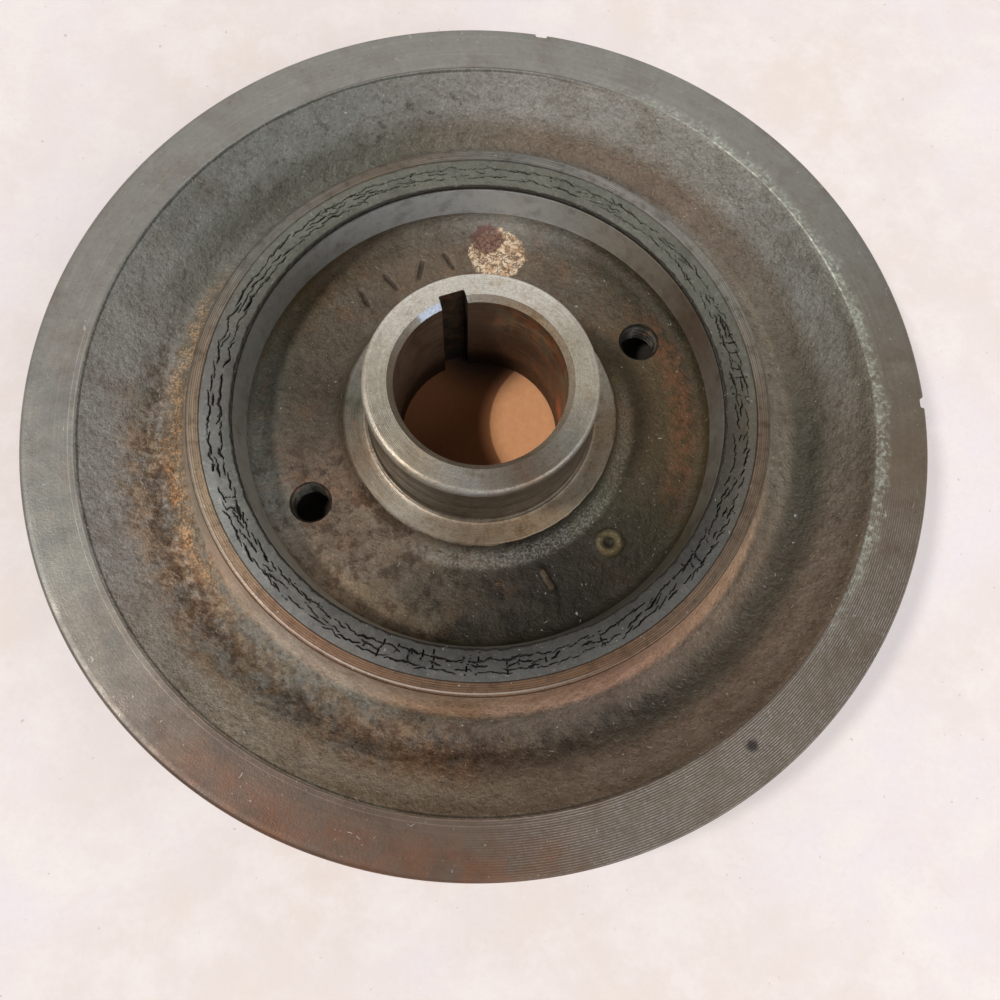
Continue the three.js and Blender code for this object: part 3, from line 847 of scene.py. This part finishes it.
def hub_outline():
    front = WEB_Z - WEB_THICKNESS
    rim_end = SKIN_THICKNESS + 0.3
    wall_r, step_r = NOSE_R - 0.05, NOSE_R - NOSE_STEP
    path = Outline(BORE_R + 0.8, 0)
    path.line("front", (FRONT_BOSS_R, 0, 2.0))
    path.line("cast", (FRONT_BOSS_FOOT_R, front, 0.8), (WEB_OUTER_R, front, 0.8),
              (WALL_FOOT_R - 0.4, rim_end, 0.8))
    path.line("band", (BOND_INNER_R, rim_end, 3.0), (BOND_INNER_R, WIDTH - rim_end, 5.0),
              (WALL_TOP_R, WIDTH - rim_end, 1.0), (WALL_FOOT_R, WALL_FOOT_Z, 0.8))
    path.curve(WALL_FOOT_R - 0.5, WEB_Z, WEB_OUTER_R, WEB_Z, "cast", 0.42)
    path.line("cast", (WEB_INNER_R, WEB_Z, 0.38))
    path.curve(SHOULDER_R + 1.2, WEB_Z, SHOULDER_R, SHOULDER_Z - 0.3, "cast", 0.42)
    path.line("shoulder", (SHOULDER_R - 0.3, SHOULDER_Z, 0.2), (NOSE_FOOT_R + 0.45, SHOULDER_Z, 0.8),
              (NOSE_FOOT_R, SHOULDER_Z + 0.1, 0.2))
    path.curve(NOSE_R, SHOULDER_Z + 0.1, wall_r, SHOULDER_Z + 0.9, "nose", 0.3)
    for low, depth in SEAL_TRACKS:
        start = SHOULDER_Z + low
        path.line("nose", (wall_r, start, 1.2))
        path.curve(NOSE_R - depth, start + 0.5, wall_r, start + 1.0, "nose", 0.25)
    path.line("nose", (step_r, NOSE_TOP - 2.3, 1.2), (step_r, NOSE_TOP - 1.75, 0.3))
    path.line("nose_top", (wall_r, NOSE_TOP - 1.5, 0.15))
    path.curve(NOSE_R + 0.02, NOSE_TOP, NOSE_R - 1.3, NOSE_TOP, "nose_top", 0.2)
    path.line("nose_top", (BORE_R + BORE_CHAMFER, NOSE_TOP, 0.8))
    path.line("chamfer", (BORE_R, NOSE_TOP - BORE_CHAMFER, 0.4))
    path.line("bore", (BORE_R, 0.8, 1.6))
    path.close("bore", 0.4)
    return path


def build_hub():
    materials = {
        "cast": web_iron(),
        "nose": turned_iron("nose_wall", (0.55, 0.5, 0.43), 0.2, 0.3, 0.48, 0.5),
        "nose_top": turned_iron("nose", (0.82, 0.78, 0.72), 0.06, 0.28, 0.44, 0.5, (21.0, 22.0)),
        "chamfer": turned_iron("chamfer", (0.7, 0.64, 0.55), 0.2, 0.4, 0.6, 0.4),
        "shoulder": turned_iron("shoulder", (0.6, 0.54, 0.47), 0.26, 0.32, 0.5, 0.5, (22.3, 22.9)),
        "front": turned_iron("front", (0.45, 0.4, 0.33), 0.5, 0.4, 0.6, 0.5),
        "band": band_iron(), "bore": bore_iron(), "thread": thread_iron(),
    }
    hub = turned("hub_casting", hub_outline(), 640, materials, hub_relief)
    thread = list(materials).index("thread")
    half = (KEYWAY_BOTTOM_R - 10) / 2
    key = prism("keyway_cutter", rounded_box(half, KEYWAY_WIDTH / 2, 0.35), -2, NOSE_TOP + 2,
                KEYWAY_BOTTOM_R - half, KEYWAY_ANGLE, thread)
    cut(hub, [key, *(thread_cutter(angle) for angle in PULLER_ANGLES)])
    repaint_cuts(hub, thread)
    return finish_mesh(hub, 38)


def repaint_cuts(hub, thread):
    """Gives the faces inside the keyway and the tapped holes the thread finish."""
    faces = hub.data.polygons
    centres = np.array([face.center for face in faces], float) / MM
    upright = np.abs([face.normal.z for face in faces])
    slots = np.array([face.material_index for face in faces])
    for angle in PULLER_ANGLES:
        away = np.hypot(*(centres[:, :2] - on_circle(PULLER_CIRCLE_R, angle)).T)
        slots[(away < THREAD_MAJOR_R + 0.02) & (upright < 0.98)] = thread
    out = centres[:, :2] @ on_circle(1, KEYWAY_ANGLE)
    across = np.abs(centres[:, :2] @ on_circle(1, KEYWAY_ANGLE + 90))
    radius = np.hypot(*centres[:, :2].T)
    inside = (out > 0) & (across < KEYWAY_WIDTH / 2 + 0.01)
    inside &= (radius > BORE_R + 0.02) & (radius < KEYWAY_BOTTOM_R + 0.3)
    slots[inside & (upright < 0.3)] = thread
    faces.foreach_set("material_index", slots)


# -------- belt ring

def ring_relief(points):
    radius = np.hypot(*points[:, :2].T)
    lift = cast_skin(points, 0.13, 0.06, 40)
    in_trough = np.exp(-((radius - 60.5) / 3.2) ** 2)
    return lift + 0.1 * in_trough * noise(points, 3.2, 47)


def ring_outline():
    middle = WIDTH / 2
    floor_r = RIM_R - GROOVE_DEPTH
    front_top, rear_top = middle - GROOVE_TOP_HALF, middle + GROOVE_TOP_HALF
    front_foot, rear_foot = middle - GROOVE_BOTTOM_HALF, middle + GROOVE_BOTTOM_HALF
    skin_r = SKIN_OUTER_R + 0.3
    skin_low, skin_high = SKIN_THICKNESS + 0.3, WIDTH - SKIN_THICKNESS - 0.3
    path = Outline(skin_r, 0)
    path.line("lip", (RECESS_INNER_R - RECESS_SLOPE, 0, 1.0))
    path.line("cast", (RECESS_INNER_R, FRONT_RECESS, 0.8), (RECESS_OUTER_R, FRONT_RECESS, 0.9),
              (RECESS_OUTER_R + RECESS_SLOPE, 0, 0.8))
    path.line("face", (RIM_R - RIM_CHAMFER, 0, 1.6))
    path.line("land", (RIM_R, RIM_CHAMFER, 0.5), (RIM_R, front_top - EDGE_BREAK, 0.8))
    path.curve(RIM_R, front_top, RIM_R - 0.5, front_top + 0.17, "land", 0.25)
    path.line("groove", (floor_r + 0.8, front_foot - 0.27, 1.0))
    path.curve(floor_r, front_foot, floor_r, front_foot + 0.8, "groove", 0.4)
    path.line("groove", (floor_r, rear_foot - 0.8, 0.9))
    path.curve(floor_r, rear_foot, floor_r + 0.8, rear_foot + 0.27, "groove", 0.4)
    path.line("groove", (RIM_R - 0.5, rear_top - 0.17, 1.0))
    path.curve(RIM_R, rear_top, RIM_R, rear_top + EDGE_BREAK, "land", 0.25)
    path.line("land", (RIM_R, WIDTH - RIM_CHAMFER, 0.8))
    path.curve(RIM_R, WIDTH - 0.2, RIM_R - RIM_CHAMFER, WIDTH, "face", 0.3)
    path.line("face", (RIM_FACE_INNER_R + 0.25, WIDTH, 0.9), (RIM_FACE_INNER_R, WIDTH - 0.18, 0.3))
    path.line("cast", (DISH_FOOT_R, DISH_FOOT_Z, 0.48))
    path.curve(DISH_FOOT_R - 3.4, TROUGH_Z, TROUGH_R, TROUGH_Z, "cast", 0.5)
    path.curve(LIP_R + 1.4, TROUGH_Z, LIP_R + 0.5, WIDTH - 0.5, "cast", 0.5)
    path.curve(LIP_R + 0.4, WIDTH, LIP_R, WIDTH, "lip", 0.25)
    path.line("lip", (skin_r + 0.1, WIDTH, 0.5), (skin_r, WIDTH - 0.12, 0.2), (skin_r, skin_high, 0.8),
              (BOND_OUTER_R, skin_high, 1.0), (BOND_OUTER_R, skin_low, 5.0), (skin_r, skin_low, 1.0))
    path.close("lip", 0.8)
    return path


def build_ring():
    materials = {"cast": dish_iron(), "face": face_iron(), "land": land_iron(),
                 "groove": groove_iron(), "lip": lip_iron()}
    ring = turned("belt_ring", ring_outline(), 720, materials, ring_relief)
    land = list(materials).index("land")
    shape = rounded_box(1.0, 1.25, 0.4)
    low, high = WIDTH - 2, WIDTH + 2
    cut(ring, [prism("notch_cutter", shape, low, high, RIM_R, angle, land) for angle in NOTCH_ANGLES])
    return finish_mesh(ring, 30)


# -------- rubber

def crack_list():
    """Cracks of the rear skin: (kind, angle, half its angle or length, radius, slope, width, depth)."""
    draw = np.random.default_rng(31)
    cracks = []
    for centre, share in ROUND_CRACKS:
        angle, lean = 0.0, 1
        while angle < 358:
            span = draw.uniform(1.7, 4.6) / SKIN_MIDDLE_R * DEGREES_PER_RADIAN
            lean = -lean if draw.random() < 0.14 else lean
            shown = draw.random() < share
            shift, slope = draw.uniform(-0.28, 0.28), lean * draw.uniform(0.08, 0.4)
            width, depth = draw.uniform(0.1, 0.19), draw.uniform(0.5, 0.9)
            gape = 1.8 if draw.random() < 0.16 else 1.0
            gape *= 1.4 if 130 < angle < 230 else 1.1
            half = span / 2
            if shown:
                cracks.append(("round", angle + half, half, centre + shift, slope, width * gape, depth))
            angle += span * draw.uniform(0.62, 0.86)
    for angle in (*CROSS_CRACKS, *draw.uniform(0, 360, 34)):
        main = angle in CROSS_CRACKS
        reach = draw.uniform(1.4, 2.3) if main else draw.uniform(0.3, 0.9)
        middle = 50.1 if main else draw.choice([49.1, 51.05])
        middle += draw.uniform(-0.3, 0.3) if main else draw.uniform(-0.5, 0.5)
        width = draw.uniform(0.11, 0.18) if main else draw.uniform(0.08, 0.12)
        slope, depth = draw.uniform(-0.4, 0.4), draw.uniform(0.45, 0.9)
        cracks.append(("radial", angle, reach, middle, slope, width, depth))
    return cracks


def rubber_relief(points):
    """The rear skin's cracks, scuffed plates and ragged inner edge, in millimetres."""
    x, y, _ = points.T
    radius, angle = np.hypot(x, y), np.degrees(np.arctan2(y, x))
    lift = 0.06 * noise(points, 4.0, 60) + 0.06 * noise(points, 1.3, 61) + 0.04 * noise(points, 0.6, 62)
    arc = np.radians(angle % 360) * SKIN_MIDDLE_R
    wander = 0.2 * round_track(arc, 1.1, 63) + 0.15 * round_track(arc, 0.55, 64)
    breadth = 0.7 + 0.4 * round_track(arc, 0.9, 65)
    drift = 0.3 * noise(np.stack([radius, radius * 0, points[:, 2]], 1), 0.9, 66)
    deepest = np.zeros(len(points))
    for kind, centre, half, middle, slope, width, depth in crack_list():
        off = (angle - centre + 180) % 360 - 180
        if kind == "round":
            along = off / half
            across = radius - middle - slope * along - wander
        else:
            along = (radius - middle) / half
            across = np.radians(off) * SKIN_MIDDLE_R - slope * along - drift
        taper = np.sqrt(np.clip(1 - along ** 2, 0, 1))
        spread = np.maximum(width * taper * breadth, 1e-6)
        profile = np.clip(1.25 * (1 - np.abs(across) / spread), 0, 1) * depth * np.clip(2 * taper, 0, 1)
        deepest = np.maximum(deepest, np.where(np.abs(along) < 1, profile, 0))
    for centre, half in ((-99, 9), (-148.5, 3), (178, 3)):
        off = (angle - centre + 180) % 360 - 180
        patch = np.exp(-(off / half) ** 4)
        lift += patch * (0.16 * noise(points, 1.7, 67) - 0.05)
    rag = 0.25 * noise(points, 1.6, 68) + 0.22 * noise(points, 0.6, 69)
    frayed = np.clip((SKIN_INNER_R + 0.45 + rag - radius) / 0.4, 0, 1)
    lip = np.clip((radius - SKIN_EDGE_R + 0.26) / 0.25, 0, 1)
    return np.minimum(lift, 0.07) - deepest - 0.55 * frayed - 0.08 * lip ** 2


def build_rubber():
    low, high, top = SKIN_THICKNESS, WIDTH - SKIN_THICKNESS, WIDTH - SKIN_TOP_GAP
    inner, outer = BOND_INNER_R + BOND_GAP, BOND_OUTER_R - BOND_GAP
    path = Outline(RUBBER_FOOT_R, BOND_GAP)
    path.line("rubber", (RUBBER_FRONT_R, BOND_GAP, 0.8), (RUBBER_FRONT_R + 0.05, low, 0.6),
              (outer, low, 1.2), (outer, high, 4.0), (SKIN_EDGE_R, high, 1.2), (SKIN_EDGE_R, top, 0.5))
    path.line("skin", (SKIN_INNER_R, top, 0.128))
    path.line("rubber", (SKIN_INNER_R, high, 0.5), (inner, high, 1.2), (inner, low, 4.0),
              (RUBBER_FOOT_R, low, 1.2))
    path.close("rubber", 0.6)
    material = old_rubber()
    materials = {"rubber": material, "skin": material}
    return finish_mesh(turned("rubber_ring", path, 1500, materials, rubber_relief), 50)


# -------- stage

def floor_material():
    p = Paint("floor_paper")
    p.base = p.mix(p.step(p.noise(60.0, 4.0), 0.35, 0.65), (0.355, 0.3, 0.265, 1), (0.39, 0.357, 0.39, 1))
    p.cover(p.step(p.noise(14.0, 6.0, 0.7), 0.4, 0.7), (0.42, 0.385, 0.37, 1))
    pulp = p.step(p.noise(1.3, 5.0, 0.75), 0.42, 0.66)
    p.cover(p.times(pulp, 0.22), (0.34, 0.26, 0.2, 1))
    threads = p.fall(p.off_middle(4.0, 2.0, 0.5, 1.5), 0.004, 0.014)
    threads = p.times(threads, p.cloud(3.0, 0.56, 0.64))
    p.cover(p.times(threads, 0.35), (0.3, 0.24, 0.2, 1))
    bits = p.times(p.step(p.noise(1.6, 2.0), 0.725, 0.76), 0.8)
    p.cover(bits, (0.16, 0.11, 0.08, 1))
    # Painted shade: a dark disc on the floor under the pulley, seen only through the holes.
    p.cover(p.fall(p.radius, *SHADE_DISC_EDGE), (0.02, 0.015, 0.01, 1))
    kraft_with_shadow = p.mix(p.noise(1.6, 5.0, 0.7), (0.64, 0.29, 0.12, 1), (0.86, 0.44, 0.22, 1))
    # Painted shadow: the bore's rim shading the brown paper, all but a crisp lit disc.
    painted_bore_shadow = p.inverse(p.daub(18.8, 14.0, 16.4, 0.15))
    kraft_with_shadow = p.tinted(kraft_with_shadow, painted_bore_shadow, (0.4, 0.32, 0.26))
    # Painted shadow: the paper nearly black towards the back of the bore.
    kraft_with_shadow = p.tinted(kraft_with_shadow, p.near(-2, 23, 17), (0.05, 0.05, 0.05))
    p.cover(p.fall(p.radius, *PAPER_EDGE), kraft_with_shadow)
    glow = p.times(p.step(p.radius, *SHADE_DISC_EDGE), 0.47)
    return p.done(0.85, 0.0, p.bump(p.noise(0.8, 4.0), 0.05),
                  **{"Emission Color": (1, 0.915, 0.89, 1), "Emission Strength": glow})


def build_floor():
    corners = [(x * FLOOR_HALF, y * FLOOR_HALF, FLOOR_Z) for x, y in ((-1, -1), (1, -1), (1, 1), (-1, 1))]
    mesh_object("floor", corners, [(0, 1, 2, 3)], [floor_material()])


def add_light(name, kind, energy, colour, toward, at=(0, 0, 0), **settings):
    light = bpy.data.lights.new(name, kind)
    light.energy, light.color = energy, colour
    for key, value in settings.items():
        setattr(light, key, value)
    lamp = add(name, light)
    lamp.location = at
    lamp.rotation_euler = Vector(toward).to_track_quat("-Z", "Y").to_euler()


def light_scene():
    rise = math.radians(KEY_RISE)
    ray = (*on_circle(math.cos(rise), KEY_AZIMUTH), -math.sin(rise))
    add_light("key", "SUN", 2.05, (1.0, 0.96, 0.92), ray, angle=math.radians(8))
    add_light("near_window", "AREA", 9.0, (0.92, 0.96, 1.0), (-0.72, 0.62, -0.72), (0.72, -0.62, 0.72),
              shape="RECTANGLE", size=1.3, size_y=0.8)
    add_light("far_window", "AREA", 2.2, (0.86, 0.93, 1.0), (0.1, -0.9, -0.68), (-0.1, 0.9, 0.68),
              shape="RECTANGLE", size=1.1, size_y=0.7)
    world = bpy.data.worlds.new("studio")
    world.use_nodes = True
    background = world.node_tree.nodes["Background"]
    background.inputs["Color"].default_value = (1.0, 0.96, 0.9, 1)
    background.inputs["Strength"].default_value = 0.2
    bpy.context.scene.world = world


def place_camera():
    level = Matrix.Rotation(math.radians(90 + CAMERA_TILT), 3, "X")
    view = Matrix.Diagonal((1, -1, -1)) @ Matrix.Rotation(math.radians(CAMERA_ROLL), 3, "Z") @ level
    camera = bpy.data.cameras.new("camera")
    camera.lens, camera.sensor_width, camera.clip_start = CAMERA_LENS, 36, 0.01
    eye = add("camera", camera)
    eye.matrix_world = Matrix.Translation(CAMERA_AT) @ view.transposed().to_4x4()
    bpy.context.scene.camera = eye


def stand_in(piece, body, node):
    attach(piece, body)
    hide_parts(node)


place_camera()
light_scene()
build_floor()
stand_in(build_hub(), "hub", "hub")
stand_in(build_rubber(), "rubber", "damper_rubber")
stand_in(build_ring(), "ring", "pulley_ring")
bpy.context.scene.view_settings.view_transform = "Standard"
